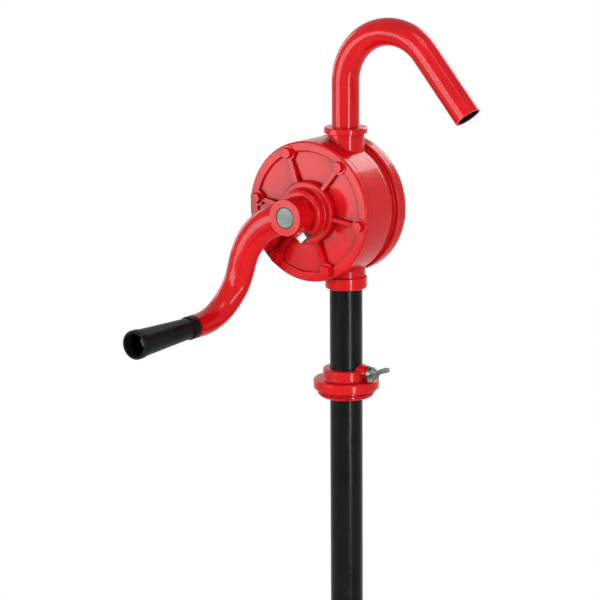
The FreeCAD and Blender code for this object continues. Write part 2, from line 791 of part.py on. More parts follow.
def make_rotor():
    """Slotted rotor that nearly touches the chamber wall between the two ports."""
    body = sub_part("rotor")
    disc = new_sketch(body, "XY_Plane")
    draw_circle(disc, rotor_r)
    draw_circle(disc, shaft_r)
    feature(body, "Pad", disc, Length=rotor_width, SideType="Symmetric")
    slot = new_sketch(body, "XY_Plane")
    slot_width = size.vane_thickness + 2 * size.slot_clearance
    draw(slot, slab(slot_bottom_r, rotor_r + slot_width, slot_width))
    cut = feature(body, "Pocket", slot, Length=rotor_width, SideType="Symmetric")
    pattern_round(body, [cut], size.vane_count)
    keyway = new_sketch(body, "XY_Plane", turn=VANE_STEP / 2)
    draw(keyway, slab(key_bottom_r, key_top_r + size.slot_clearance, size.key_width))
    feature(body, "Pocket", keyway, Length=rotor_width, SideType="Symmetric")
    place_on_shaft(body, ROTOR_TURN)


def make_vane(number):
    """Sliding vane, drawn pushed in, with a rounded outer edge."""
    body = sub_part(f"vane_{number + 1}")
    sketch = new_sketch(body, "XY_Plane")
    half = size.vane_thickness / 2
    shoulder = vane_outer_r - size.vane_thickness / 6
    draw(sketch, [(vane_inner_r, -half), (shoulder, -half, size.vane_thickness), (shoulder, half),
                  (vane_inner_r, half)])
    feature(body, "Pad", sketch, Length=rotor_width, SideType="Symmetric")
    place_on_shaft(body, ROTOR_TURN * turned_about_z(number * VANE_STEP))


def make_vane_springs():
    """Bowed leaf springs on the floors of the vane slots, as a group of separate solids."""
    body = sub_part("vane_springs")
    body.AllowCompound = True
    sketch = new_sketch(body, "XZ_Plane")
    half = size.spring_length / 2
    rise = size.spring_space - size.spring_thickness
    bow = (half * half + rise * rise) / (2 * rise)
    outer = slot_bottom_r + size.spring_thickness
    draw(sketch, [(slot_bottom_r, -half), (outer, -half, bow), (outer, half), (slot_bottom_r, half, -bow)])
    pad = feature(body, "Pad", sketch, Length=size.vane_thickness, SideType="Symmetric")
    pattern_round(body, [pad], size.vane_count)
    place_on_shaft(body, ROTOR_TURN)


def make_shaft():
    """One straight shaft from the rear bush to the crank, with a keyway under the rotor."""
    body = sub_part("shaft")
    rear = -bush_end + size.rotor_side_gap
    edge = size.casting_radius / 2
    front = size.shaft_front
    revolve(body, [(0, rear), (shaft_r - edge, rear), (shaft_r, rear + edge),
                   (shaft_r, front - edge), (shaft_r - edge, front), (0, front)])
    keyway = new_sketch(body, "XY_Plane")
    draw(keyway, slab(key_bottom_r, key_top_r, size.key_width))
    feature(body, "Pocket", keyway, Length=size.key_length, SideType="Symmetric")
    place_on_shaft(body, KEY_TURN)


def make_rotor_key():
    body = sub_part("rotor_key")
    sketch = new_sketch(body, "XY_Plane")
    draw(sketch, slab(key_bottom_r, key_top_r, size.key_width))
    feature(body, "Pad", sketch, Length=size.key_length, SideType="Symmetric")
    place_on_shaft(body, KEY_TURN)


# ------------------------------------------------------------------------------- crank

CRANK_TURN = FRONT * turned_about_z(size.crank_angle.number)
BEND_STEPS = 4


def arm_stations():
    """Centre, heading and side direction at each section of the arm, from hub to grip.

    The arm leaves the hub straight, turns at the knee towards the grip's axis, and turns at the
    elbow out of its plane until it runs along that axis.
    """
    knee = Vector(size.knee_along.number, -size.knee_across.number, 0)
    corner = Vector(size.crank_throw.number, 0, 0)
    out = Vector(knee).normalize()
    back = (corner - knee).normalize()
    turn = out.getAngle(back)
    reach = size.knee_radius.number * math.tan(turn / 2)
    lift = Vector(0, 0, 1)
    stations = [(out * (size.shaft_od.number / 4), out, lift.cross(out))]
    knee_start = knee - out * reach
    knee_centre = knee_start + lift.cross(out) * size.knee_radius.number
    for step in range(BEND_STEPS + 1):
        heading = Rotation(lift, math.degrees(turn) * step / BEND_STEPS).multVec(out)
        side = lift.cross(heading)
        stations.append((knee_centre - side * size.knee_radius.number, heading, side))
    side = lift.cross(back)
    elbow_start = corner - back * size.elbow_radius.number
    elbow_centre = elbow_start + lift * size.elbow_radius.number
    for step in range(BEND_STEPS + 1):
        angle = math.pi / 2 * step / BEND_STEPS
        heading = back * math.cos(angle) + lift * math.sin(angle)
        outward = back * math.sin(angle) - lift * math.cos(angle)
        stations.append((elbow_centre + outward * size.elbow_radius.number, heading, side))
    stations.append((stations[-1][0] + lift * size.arm_stub.number, lift, side))
    return stations


def make_crank_arm():
    """Round hub, oval arm that tapers and swells along its curved path, a boss for the set screw."""
    stations = arm_stations()
    lengths = [0.0]
    for (before, _, _), (after, _, _) in zip(stations, stations[1:]):
        lengths.append(lengths[-1] + before.distanceToPoint(after))
    end_width = size.arm_end_od + size.arm_end_ovality
    sections = []
    for (centre, heading, side), length in zip(stations, lengths):
        share = length / lengths[-1]
        belly = size.arm_belly * (4 * share * (1 - share))
        width = size.arm_hub_width + (end_width - size.arm_hub_width) * share + belly
        thickness = size.arm_hub_thickness + (size.arm_end_od - size.arm_hub_thickness) * share + belly
        section = doc.addObject("Part::Ellipse", "arm_section")
        bind(section, "MajorRadius", width / 2)
        bind(section, "MinorRadius", thickness / 2)
        across = heading.cross(side)
        frame = FreeCAD.Matrix(side.x, across.x, heading.x, 0, side.y, across.y, heading.y, 0,
                               side.z, across.z, heading.z, 0, 0, 0, 0, 1)
        section.Placement = Placement(centre + Vector(0, 0, crank_middle.number), Rotation(frame))
        sections.append(section)
    arm = doc.addObject("Part::Loft", "arm_loft")
    arm.Sections = sections
    arm.Solid = True

    hub = doc.addObject("Part::Cylinder", "crank_hub")
    bind(hub, "Radius", size.crank_hub_od / 2)
    bind(hub, "Height", size.crank_hub_length)
    place(hub, 0, 0, crank_front - size.crank_hub_length)
    boss = doc.addObject("Part::Cylinder", "set_screw_boss")
    bind(boss, "Radius", size.set_screw_boss_od / 2)
    bind(boss, "Height", size.set_screw_boss_reach)
    to_screw = turned_about_z(size.set_screw_angle.number) * Rotation(Vector(0, 1, 0), 90)
    place(boss, 0, 0, crank_middle, to_screw)
    casting = doc.addObject("Part::MultiFuse", "crank_casting")
    casting.Shapes = [hub, arm, boss]
    casting.Refine = True

    bore = doc.addObject("Part::Cylinder", "crank_bore")
    bind(bore, "Radius", shaft_r)
    bind(bore, "Height", size.crank_hub_length + 2 * size.casting_radius)
    place(bore, 0, 0, crank_front - size.crank_hub_length - size.casting_radius)
    screw_hole = doc.addObject("Part::Cylinder", "set_screw_hole")
    bind(screw_hole, "Radius", size.set_screw_od / 2)
    bind(screw_hole, "Height", size.set_screw_boss_reach + size.casting_radius)
    place(screw_hole, 0, 0, crank_middle, to_screw)
    spindle_hole = doc.addObject("Part::Cylinder", "spindle_hole")
    bind(spindle_hole, "Radius", size.spindle_od / 2)
    bind(spindle_hole, "Height", size.spindle_thread_depth)
    place(spindle_hole, size.crank_throw, 0, arm_end - size.spindle_thread_depth)
    holes = doc.addObject("Part::MultiFuse", "crank_holes")
    holes.Shapes = [bore, screw_hole, spindle_hole]
    crank = sub_part("crank_arm", "Part::Cut")
    crank.Base = casting
    crank.Tool = holes
    place_on_shaft(crank, CRANK_TURN)


def make_crank_set_screw():
    """Square-headed screw whose point bears on the shaft."""
    body = sub_part("crank_set_screw")
    screw_r = size.set_screw_od / 2
    point = screw_r / 3
    revolve(body, [(0, shaft_r), (screw_r - point, shaft_r), (screw_r, shaft_r + point),
                   (screw_r, size.set_screw_boss_reach), (0, size.set_screw_boss_reach)])
    head = new_sketch(body, "XY_Plane", shift_z=size.set_screw_boss_reach)
    half = size.set_screw_head_width / 2
    draw(head, [(-half, -half), (half, -half), (half, half), (-half, half)])
    feature(body, "Pad", head, Length=size.set_screw_head_height)
    turn = turned_about_z(size.crank_angle.number + size.set_screw_angle.number)
    place(body, -size.shaft_offset, -crank_middle, shaft_z, FRONT * turn * Rotation(Vector(0, 1, 0), 90))


# ------------------------------------------------------------------------------- grip


def place_on_grip_axis(part):
    """Stand a part on the grip's axis, with its own z axis along the shaft's, towards the front."""
    x = size.crank_throw * cosine(size.crank_angle) - size.shaft_offset
    z = size.crank_throw * sine(size.crank_angle) + shaft_z
    place(part, x, 0, z, FRONT)


def make_grip():
    """Tapered plastic grip: a collar, a bead round the open tip and a deep mouth for the spindle."""
    body = sub_part("grip")
    bore_r = size.spindle_od / 2 + size.spindle_clearance
    collar_r = size.grip_collar_od / 2
    collar_top = grip_base + size.grip_collar_length
    base_r = size.grip_base_od / 2
    tip_r = size.grip_tip_od / 2
    bead_r = size.grip_bead_od / 2
    bead_bottom = grip_tip - size.grip_bead_length
    mouth_r = size.grip_mouth_od / 2
    corner = size.casting_radius / 2
    edge = corner / 2
    revolve(body, [(bore_r, grip_base)]
            + rounded(collar_r, grip_base, (1, 0), (0, 1), corner)
            + rounded(collar_r, collar_top, (0, 1), (-1, 0), edge)
            + rounded(base_r, collar_top, (-1, 0), (0, 1), edge)
            + [(tip_r, bead_bottom), (bead_r, bead_bottom + bead_r - tip_r)]
            + rounded(bead_r, grip_tip, (0, 1), (-1, 0), corner)
            + [(mouth_r, grip_tip), (mouth_r, grip_shoulder), (bore_r, grip_shoulder)])
    place_on_grip_axis(body)


def make_grip_washer():
    inner_r = size.spindle_od / 2
    body = ring("grip_washer", inner_r, size.washer_od / 2, arm_end, washer_face, size.washer_thickness / 4)
    place_on_grip_axis(body)


def make_grip_spindle():
    """Shoulder screw from the arm's end through the grip."""
    body = sub_part("grip_spindle")
    spindle_r = size.spindle_od / 2
    head_r = size.spindle_head_od / 2
    head_bottom = grip_shoulder + size.grip_end_float
    head_top = head_bottom + size.spindle_head_height
    edge = size.casting_radius / 2
    bottom = arm_end - size.spindle_thread_depth
    revolve(body, [(0, bottom), (spindle_r, bottom), (spindle_r, head_bottom), (head_r, head_bottom),
                   (head_r, head_top - edge), (head_r - edge, head_top), (0, head_top)])
    place_on_grip_axis(body)


# ------------------------------------------------------------------------------- spout

spout_bottom = outlet_face - size.spout_socket_depth + size.spout_seat_gap


def make_spout_tube():
    """Bent tube that stands in the outlet boss and hooks over to one side."""
    body = sub_part("spout_tube")
    turn = size.spout_bend_angle
    bend_r = size.spout_bend_radius
    leg = size.spout_socket_depth - size.spout_seat_gap + size.spout_leg
    bend_end_x = bend_r - bend_r * cosine(turn)
    bend_end_z = leg + bend_r * sine(turn)
    mouth_x = bend_end_x + size.spout_straight * sine(turn)
    mouth_z = bend_end_z + size.spout_straight * cosine(turn)
    spine = new_sketch(body, "XZ_Plane")
    draw(spine, [(0, 0), (0, leg, -bend_r), (bend_end_x, bend_end_z), (mouth_x, mouth_z)], closed=False)
    section = new_sketch(body, "XY_Plane")
    draw_circle(section, size.spout_od / 2)
    draw_circle(section, size.spout_od / 2 - size.spout_wall)
    feature(body, "AdditivePipe", section, Spine=(spine, []))
    place(body, 0, 0, spout_bottom)


def make_spout_seal():
    """Rubber ring in the outlet boss, round the spout."""
    top = outlet_face - size.spout_seal_cover
    gap = size.seal_clearance
    outer_r = size.spout_od / 2 + size.spout_seal_section
    ring("spout_seal", size.spout_od / 2 + gap / 4, outer_r, top - size.spout_seal_length, top, gap)


# ------------------------------------------------------------------------------- build and write

make_bung_adapter()
make_tube_seal()
make_wing_screw()
make_tube("suction_tube_upper", size.upper_tube_length, upper_tube_bottom, inlet_thread, joint_thread)
make_tube("suction_tube_lower", size.lower_tube_length, lower_tube_top - size.lower_tube_length, joint_thread)
make_tube_coupling()
make_pump_casing()
make_front_cover()
make_rear_cover()
make_gasket("front_gasket", FRONT)
make_gasket("rear_gasket", BACK)
make_cover_bolts("front_cover_bolts", FRONT_BOLTS)
make_cover_bolts("rear_cover_bolts", REAR_BOLTS)
make_bush("front_bush", FRONT)
make_bush("rear_bush", BACK)
make_packing_rings()
make_gland_nut()
make_rotor()
for vane_number in range(int(size.vane_count.number)):
    make_vane(vane_number)
make_vane_springs()
make_shaft()
make_rotor_key()
make_crank_arm()
make_crank_set_screw()
make_grip_washer()
make_grip_spindle()
make_grip()
make_spout_tube()
make_spout_seal()
doc.recompute()

for item in doc.Objects:
    if "Invalid" in item.State or "Error" in item.State:
        raise RuntimeError(f"{item.Name} failed: {item.State}")
for label, part in parts.items():
    if part.Shape.isNull() or not part.Shape.isValid():
        raise RuntimeError(f"{label} has no valid shape")

os.makedirs("parts", exist_ok=True)
for label, part in parts.items():
    part.Shape.exportStep(f"parts/{label}.step")
    print(f"{label}: {len(part.Shape.Solids)} solid(s), {part.Shape.Volume / 1000:.1f} cm3")
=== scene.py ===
import json
import math

import bmesh
import bpy
from mathutils import Matrix, Quaternion, Vector


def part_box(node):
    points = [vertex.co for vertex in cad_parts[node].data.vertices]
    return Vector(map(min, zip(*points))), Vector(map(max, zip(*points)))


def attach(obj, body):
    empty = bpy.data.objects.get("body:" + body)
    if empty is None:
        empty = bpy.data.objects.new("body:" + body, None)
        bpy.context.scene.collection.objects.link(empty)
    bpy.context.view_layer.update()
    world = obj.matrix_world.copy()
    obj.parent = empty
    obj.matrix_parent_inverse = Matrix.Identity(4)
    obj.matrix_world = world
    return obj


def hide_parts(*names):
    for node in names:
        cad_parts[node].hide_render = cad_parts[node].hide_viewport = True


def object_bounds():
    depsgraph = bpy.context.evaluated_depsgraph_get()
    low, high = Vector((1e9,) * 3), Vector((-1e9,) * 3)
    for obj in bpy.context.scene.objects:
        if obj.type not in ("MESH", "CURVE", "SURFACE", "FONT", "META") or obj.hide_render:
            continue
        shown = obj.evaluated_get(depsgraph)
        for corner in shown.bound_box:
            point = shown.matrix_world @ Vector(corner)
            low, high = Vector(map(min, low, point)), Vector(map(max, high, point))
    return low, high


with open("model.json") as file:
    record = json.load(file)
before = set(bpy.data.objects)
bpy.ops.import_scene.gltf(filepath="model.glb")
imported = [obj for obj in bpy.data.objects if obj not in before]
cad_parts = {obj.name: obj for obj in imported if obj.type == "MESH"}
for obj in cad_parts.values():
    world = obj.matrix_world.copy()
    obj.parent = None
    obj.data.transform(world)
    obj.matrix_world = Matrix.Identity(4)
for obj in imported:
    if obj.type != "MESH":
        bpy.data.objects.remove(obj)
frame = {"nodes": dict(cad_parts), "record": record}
cad_box = [list(corner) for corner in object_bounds()]

# ------------------------------------------------------------------------------- bung adapter
# The adapter is a small iron casting, enamelled red, that screws into the drum's bung. Its lip rests on
# the drum's top, its skirt carries the pipe thread, and its neck guides the suction tube.


def add(tree, kind, values=(), **settings):
    """Add a node, set its own settings, and give its sockets values or links."""
    made = tree.nodes.new(kind)
    for key, value in settings.items():
        setattr(made, key, value)
    for key, value in dict(values).items():
        if isinstance(value, bpy.types.NodeSocket):
            tree.links.new(value, made.inputs[key])
        else:
            made.inputs[key].default_value = value
    return made


def calc(tree, operation, first, second=0.0):
    """One step of arithmetic; each term is a socket or a number."""
    return add(tree, "ShaderNodeMath", {0: first, 1: second}, operation=operation).outputs[0]


def vector_calc(tree, operation, first, second=(0.0, 0.0, 0.0)):
    """The same on vectors; a length or a dot product comes out as a plain value."""
    made = add(tree, "ShaderNodeVectorMath", {0: first, 1: second}, operation=operation)
    return made.outputs["Value" if operation in ("LENGTH", "DOT_PRODUCT") else "Vector"]


def sum_of(tree, first, second, share):
    """first + second * share."""
    return add(tree, "ShaderNodeMath", {0: second, 1: share, 2: first}, operation="MULTIPLY_ADD").outputs[0]


def stretch(tree, value, low, high, to_low=0.0, to_high=1.0):
    """Map a value from low..high to another range, with its ends held."""
    values = {"Value": value, "From Min": low, "From Max": high, "To Min": to_low, "To Max": to_high}
    return add(tree, "ShaderNodeMapRange", values).outputs["Result"]


def tint(tree, mask, first, second):
    """Blend two colours by a mask."""
    return add(tree, "ShaderNodeMix", {0: mask, 6: first, 7: second}, data_type="RGBA").outputs[2]


def object_place(tree):
    """The piece's own coordinates, in metres."""
    return tree.nodes.new("ShaderNodeTexCoord").outputs["Object"]


def noise(tree, place, scale, detail=2.0, roughness=0.5):
    """Cloudy noise from 0 to 1; scale is its clouds per metre."""
    values = {"Vector": place, "Scale": scale, "Detail": detail, "Roughness": roughness}
    return add(tree, "ShaderNodeTexNoise", values).outputs["Fac"]


def shader_group(name, inputs, outputs):
    """A shader node group with named inputs and outputs; returns the tree and its two end nodes."""
    tree = bpy.data.node_groups.new(name, "ShaderNodeTree")
    for label, default in inputs.items():
        kind = "NodeSocketVector" if isinstance(default, tuple) else "NodeSocketFloat"
        tree.interface.new_socket(label, in_out="INPUT", socket_type=kind).default_value = default
    for label in outputs:
        tree.interface.new_socket(label, in_out="OUTPUT", socket_type="NodeSocketFloat")
    return tree, tree.nodes.new("NodeGroupInput"), tree.nodes.new("NodeGroupOutput")


# Sand-cast skin: the rounded pebble grain that a mould leaves and that paint only softens.
BROAD_GRAIN = 0.22

cast_skin, inside, outside = shader_group("cast skin", {"Grain Scale": 700.0}, ["Height"])
place = object_place(cast_skin)
fine = noise(cast_skin, place, inside.outputs["Grain Scale"], roughness=0.55)
broad_scale = calc(cast_skin, "MULTIPLY", inside.outputs["Grain Scale"], BROAD_GRAIN)
broad = noise(cast_skin, place, broad_scale)
cast_skin.links.new(sum_of(cast_skin, fine, broad, 1.6), outside.inputs["Height"])

# Worn edges: outside corners where the finish is rubbed thin, broken up by noise. The two limits are
# cosines of how far the surface turns within the width.
EDGE_STARTS = 0.995
EDGE_FULL = 0.86

worn_edge, inside, outside = shader_group(
    "worn edge", {"Width": 0.0008, "Break Up": 260.0, "Amount": 0.5}, ["Mask"])
rounded = add(worn_edge, "ShaderNodeBevel", {"Radius": inside.outputs["Width"]}, samples=4).outputs["Normal"]
flat = worn_edge.nodes.new("ShaderNodeNewGeometry").outputs["Normal"]
turn = vector_calc(worn_edge, "DOT_PRODUCT", rounded, flat)
corner = stretch(worn_edge, turn, EDGE_STARTS, EDGE_FULL)
patches = noise(worn_edge, object_place(worn_edge), inside.outputs["Break Up"], detail=3.0, roughness=0.6)
level = calc(worn_edge, "SUBTRACT", 1.0, inside.outputs["Amount"])
open_patch = stretch(worn_edge, calc(worn_edge, "SUBTRACT", patches, level), 0.0, 0.12)
worn_edge.links.new(calc(worn_edge, "MULTIPLY", corner, open_patch), outside.inputs["Mask"])

# Corner shade: painted shade in inside corners and grooves, darkest where the surface is most closed in,
# broken up by noise.
corner_shade, inside, outside = shader_group("painted corner shade", {"Reach": 0.006, "Break Up": 150.0}, ["Mask"])
openness = add(corner_shade, "ShaderNodeAmbientOcclusion", {"Distance": inside.outputs["Reach"]},
               samples=8, only_local=True).outputs["AO"]
shut_in = stretch(corner_shade, openness, 0.45, 0.92, to_low=1.0, to_high=0.0)
place = object_place(corner_shade)
broken = noise(corner_shade, place, inside.outputs["Break Up"], detail=3.0, roughness=0.6)
broken = stretch(corner_shade, broken, 0.25, 0.6, to_low=0.25, to_high=0.75)
corner_shade.links.new(calc(corner_shade, "MULTIPLY", shut_in, broken), outside.inputs["Mask"])

# Uneven coat: slow drifts in how thick and how bright a finish is.
uneven_coat, inside, outside = shader_group("uneven coat", {"Patch Scale": 30.0}, ["Mask"])
place = object_place(uneven_coat)
drift = noise(uneven_coat, place, inside.outputs["Patch Scale"], detail=4.0, roughness=0.6)
uneven_coat.links.new(stretch(uneven_coat, drift, 0.3, 0.7), outside.inputs["Mask"])


def use(tree, group, output, values):
    """Place a shared group in a material with its own values and take one of its outputs."""
    made = tree.nodes.new("ShaderNodeGroup")
    made.node_tree = group
    for key, value in values.items():
        made.inputs[key].default_value = value
    return made.outputs[output]


def new_finish(name):
    """A material with its shader; returns material, tree and shader."""
    material = bpy.data.materials.new(name)
    material.use_nodes = True
    return material, material.node_tree, material.node_tree.nodes["Principled BSDF"]


def bump(tree, shader, height, depth):
    """Raise the surface by a height times a depth in metres."""
    normal = add(tree, "ShaderNodeBump", {"Height": height, "Distance": depth}).outputs["Normal"]
    tree.links.new(normal, shader.inputs["Normal"])


THIN_RED = (0.475, 0.0031, 0.0046, 1)
FULL_RED = (0.59, 0.0050, 0.0092, 1)
# The deep red of the painted shade in corners and grooves.
PAINTED_SHADE_RED = (0.10, 0.0013, 0.0018, 1)
RUBBED_PRIMER = (0.10, 0.055, 0.05, 1)
ENAMEL_SHADE_REACH = 0.007
ENAMEL_EDGE_WIDTH = 0.0007


def red_enamel(name, grain_scale, grain_depth, wear):
    """Gloss red enamel; the grain is what the surface under it leaves."""
    material, tree, shader = new_finish(name)
    thickness = use(tree, uneven_coat, "Mask", {"Patch Scale": 24.0})
    # Painted shade: the coat darkens to deep red in inside corners and grooves, which are also made a little
    # rougher.
    corner_shade_mask = use(tree, corner_shade, "Mask", {"Reach": ENAMEL_SHADE_REACH})
    edge = use(tree, worn_edge, "Mask", {"Width": ENAMEL_EDGE_WIDTH, "Break Up": 420.0, "Amount": wear})
    coat = tint(tree, thickness, THIN_RED, FULL_RED)
    coat = tint(tree, corner_shade_mask, coat, PAINTED_SHADE_RED)
    tree.links.new(tint(tree, edge, coat, RUBBED_PRIMER), shader.inputs["Base Color"])
    haze = use(tree, uneven_coat, "Mask", {"Patch Scale": 85.0})
    gloss = stretch(tree, haze, 0.0, 1.0, to_low=0.15, to_high=0.24)
    gloss = sum_of(tree, gloss, corner_shade_mask, 0.25)
    tree.links.new(sum_of(tree, gloss, edge, 0.3), shader.inputs["Roughness"])
    shader.inputs["Specular IOR Level"].default_value = 0.05
    shader.inputs["Coat Weight"].default_value = 0.24
    shader.inputs["Coat Roughness"].default_value = 0.10
    bump(tree, shader, use(tree, cast_skin, "Height", {"Grain Scale": grain_scale}), grain_depth)
    return material


enamel_on_casting = red_enamel("red enamel on iron", grain_scale=620.0, grain_depth=0.00016, wear=0.42)


def free_copy(node, name):
    """A merged copy of a CAD node's mesh, as a piece that may be reshaped."""
    shape = bmesh.new()
    shape.from_mesh(frame["nodes"][node].data)
    bmesh.ops.remove_doubles(shape, verts=shape.verts, dist=2e-6)
    mesh = bpy.data.meshes.new(name)
    shape.to_mesh(mesh)
    shape.free()
    for layer in list(mesh.attributes):
        if layer.name == "custom_normal":
            mesh.attributes.remove(layer)
    piece = bpy.data.objects.new(name, mesh)
    bpy.context.scene.collection.objects.link(piece)
    return piece


def soften_shading(piece, sharp_degrees):
    """Shade smooth, but keep an edge crisp where its faces meet at more than this angle."""
    piece.data.shade_smooth()
    piece.data.set_sharp_from_angle(angle=math.radians(sharp_degrees))


def mount(name):
    """One of the pump's mounts, by its name in the record."""
    return next(entry for entry in frame["record"]["mounts"] if entry["name"] == name)


SKIRT_RADIUS = mount("drum_bung_thread")["dims"]["r_mm"] / 1000
SKIRT_LENGTH = -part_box("bung_adapter")[0].z
BORE_REACH = 0.025
LEVEL_SLACK = 1e-5
RADIUS_SLACK = 1e-4
THREAD_DEPTH = 0.0012

# The skirt's outside, which lies beyond the reach of the bore and its groove, is drawn in by the depth
# of the thread, to leave room for the ridge.
adapter = free_copy("bung_adapter", "adapter_casting")
for vertex in adapter.data.vertices:
    reach = math.hypot(vertex.co.x, vertex.co.y)
    if vertex.co.z < LEVEL_SLACK and BORE_REACH < reach < SKIRT_RADIUS + RADIUS_SLACK:
        share = (reach - THREAD_DEPTH) / reach
        vertex.co.x *= share
        vertex.co.y *= share
soften_shading(adapter, sharp_degrees=28)
adapter.data.materials.clear()
adapter.data.materials.append(enamel_on_casting)
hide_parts("bung_adapter")
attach(adapter, "adapter")


def geometry_tree(name, inputs):
    """A Geometry Nodes tree with named inputs; returns the tree, its input sockets and its output."""
    tree = bpy.data.node_groups.new(name, "GeometryNodeTree")
    for label, kind in inputs.items():
        tree.interface.new_socket(label, in_out="INPUT", socket_type="NodeSocket" + kind)
    tree.interface.new_socket("Geometry", in_out="OUTPUT", socket_type="NodeSocketGeometry")
    sockets = tree.nodes.new("NodeGroupInput").outputs
    return tree, sockets, tree.nodes.new("NodeGroupOutput").inputs["Geometry"]


def hand_out(tree, shape, finish, result):
    """End a tree: turn its copies into real faces, give them their finish and put them out."""
    solid = add(tree, "GeometryNodeRealizeInstances", {"Geometry": shape}).outputs[0]
    finished = add(tree, "GeometryNodeSetMaterial", {"Geometry": solid, "Material": finish}).outputs[0]
    tree.links.new(finished, result)


def grown(name, tree, values):
    """Run a geometry tree once and keep what it makes as a plain mesh."""
    carrier = bpy.data.objects.new(name + "_carrier", bpy.data.meshes.new(name + "_carrier"))
    bpy.context.scene.collection.objects.link(carrier)
    modifier = carrier.modifiers.new("shape", "NODES")
    modifier.node_group = tree
    for item in tree.interface.items_tree:
        if item.in_out == "INPUT":
            modifier[item.identifier] = values[item.name]
    depsgraph = bpy.context.evaluated_depsgraph_get()
    mesh = bpy.data.meshes.new_from_object(carrier.evaluated_get(depsgraph), depsgraph=depsgraph)
    bpy.data.objects.remove(carrier)
    piece = bpy.data.objects.new(name, mesh)
    bpy.context.scene.collection.objects.link(piece)
    return piece


# Thread: a ridge of trapezium section that climbs a cylinder and fades in and out at its ends.
THREAD_ROOT = 0.86
THREAD_CREST = 0.14
FADE_SHARE = 0.08
FADED_SIZE = 0.05

thread_tree, size, result = geometry_tree("screw thread", {
    "Radius": "Float", "Pitch": "Float", "Turns": "Float", "Depth": "Float", "Finish": "Material"})
helix = add(thread_tree, "GeometryNodeCurveSpiral", {
    "Resolution": 96, "Rotations": size["Turns"], "Start Radius": size["Radius"],
    "End Radius": size["Radius"],
    "Height": calc(thread_tree, "MULTIPLY", size["Pitch"], size["Turns"])}).outputs[0]
upright = add(thread_tree, "GeometryNodeSetCurveNormal", {"Curve": helix}, mode="Z_UP").outputs[0]
ridge = add(thread_tree, "GeometryNodeCurvePrimitiveQuadrilateral", {
    "Bottom Width": calc(thread_tree, "MULTIPLY", size["Pitch"], THREAD_ROOT),
    "Top Width": calc(thread_tree, "MULTIPLY", size["Pitch"], THREAD_CREST),
    "Offset": 0.0, "Height": size["Depth"]}, mode="TRAPEZOID").outputs[0]
lift = add(thread_tree, "ShaderNodeCombineXYZ", {
    "X": calc(thread_tree, "MULTIPLY", size["Depth"], -0.5)}).outputs[0]
ridge = add(thread_tree, "GeometryNodeTransform", {
    "Geometry": ridge, "Translation": lift, "Rotation": (0, 0, math.pi / 2)}).outputs[0]
along = thread_tree.nodes.new("GeometryNodeSplineParameter").outputs["Factor"]
fade_in = stretch(thread_tree, along, 0.0, FADE_SHARE, to_low=FADED_SIZE)
fade_out = stretch(thread_tree, along, 1.0, 1.0 - FADE_SHARE, to_low=FADED_SIZE)
swept = add(thread_tree, "GeometryNodeCurveToMesh", {
    "Curve": upright, "Profile Curve": ridge, "Scale": calc(thread_tree, "MINIMUM", fade_in, fade_out),
    "Fill Caps": True}).outputs[0]
hand_out(thread_tree, swept, size["Finish"], result)

BUNG_PITCH = 0.00231
BUNG_TURNS = 2.1
PLAIN_END = 0.0021
THREAD_SINK = 0.0001

bung_thread = grown("adapter_thread", thread_tree, {
    "Radius": SKIRT_RADIUS - THREAD_DEPTH - THREAD_SINK, "Pitch": BUNG_PITCH, "Turns": BUNG_TURNS,
    "Depth": THREAD_DEPTH, "Finish": enamel_on_casting})
bung_thread.data.transform(Matrix.Translation((0, 0, PLAIN_END - SKIRT_LENGTH)))
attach(bung_thread, "adapter")

# ------------------------------------------------------------------------------- tube seal
# A nitrile rubber ring wipes the tube as it slides through the adapter. It is bought as a moulded ring
# and lies in a groove that is turned in the adapter's bore.


def dress_node(node, material):
    """Give a CAD node its finish."""
    slots = frame["nodes"][node].material_slots
    for slot in slots:
        slot.material = material
    if not slots:
        frame["nodes"][node].data.materials.append(material)


def clouded(tree, shader, mask, colours, roughness):
    """Let one mask lead a finish from its first colour and roughness to its second."""
    tree.links.new(tint(tree, mask, *colours), shader.inputs["Base Color"])
    tree.links.new(stretch(tree, mask, 0.0, 1.0, *roughness), shader.inputs["Roughness"])


RUBBER_BLACK = (0.014, 0.014, 0.015, 1)
RUBBER_BLOOM = (0.034, 0.033, 0.032, 1)

seal_rubber, tree, shader = new_finish("nitrile rubber")
bloom = use(tree, uneven_coat, "Mask", {"Patch Scale": 160.0})
clouded(tree, shader, bloom, (RUBBER_BLACK, RUBBER_BLOOM), (0.55, 0.75))
bump(tree, shader, use(tree, cast_skin, "Height", {"Grain Scale": 2600.0}), depth=0.00003)
dress_node("tube_seal", seal_rubber)

# ------------------------------------------------------------------------------- wing screw
# A wing screw in the neck's boss clamps the tube at the height wanted. It is forged steel with a zinc
# plating, and its finish is a darker copy of the plated zinc, as painted shade.

PLATE_EDGE = (0.60, 0.61, 0.59, 1)
PLATE_HAZE = 0.16


def plated(name, light, dark, gloss):
    """Plated or blued steel, with soft clouds, bright rubbed edges and a very fine grain."""
    material, tree, shader = new_finish(name)
    cloud = use(tree, uneven_coat, "Mask", {"Patch Scale": 190.0})
    edge = use(tree, worn_edge, "Mask", {"Width": 0.0004, "Break Up": 700.0, "Amount": 0.6})
    plate = tint(tree, cloud, dark, light)
    tree.links.new(tint(tree, edge, plate, PLATE_EDGE), shader.inputs["Base Color"])
    tree.links.new(stretch(tree, cloud, 0.0, 1.0, gloss, gloss + PLATE_HAZE), shader.inputs["Roughness"])
    shader.inputs["Metallic"].default_value = 1.0
    bump(tree, shader, use(tree, cast_skin, "Height", {"Grain Scale": 1500.0}), depth=0.00004)
    return material


# Painted shade: the wing screw's zinc is made darker than the set screw's.
zinc_with_painted_shade = plated(
    "zinc with painted shade", light=(0.18, 0.195, 0.185, 1), dark=(0.075, 0.085, 0.080, 1), gloss=0.32)
dress_node("wing_screw", zinc_with_painted_shade)

